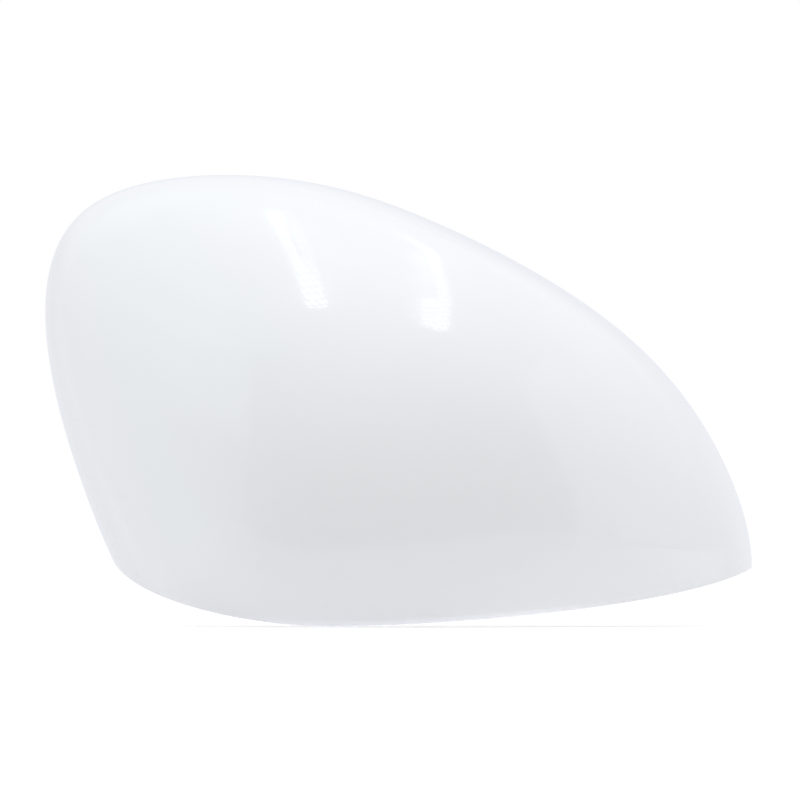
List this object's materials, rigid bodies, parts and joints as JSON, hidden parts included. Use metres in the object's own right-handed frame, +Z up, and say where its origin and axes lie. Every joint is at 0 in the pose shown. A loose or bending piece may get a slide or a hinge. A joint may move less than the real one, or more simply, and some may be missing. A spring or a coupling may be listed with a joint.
{
  "type": "wing mirror cover",
  "caption": "Egg-shaped white cap that closes the front of a car's door mirror head, open behind and below, with snap hooks and guide pegs inside.",
  "frame": {"origin": "in the plane of the rim, straight behind the crown of the face, in the middle of the clips that hold the cover on the mirror head", "axes": "+X from the outboard end to the inboard tip, +Y to the rear into the mirror head, +Z up as fitted; the outer face looks towards -Y"},
  "size_m": [0.212, 0.0719, 0.1347],
  "materials": {
    "white_paint": "gloss white paint outside, bare satin white moulding inside"
  },
  "bodies": {
    "root": {"mirror_cover": "white_paint"}
  },
  "joints": []
}
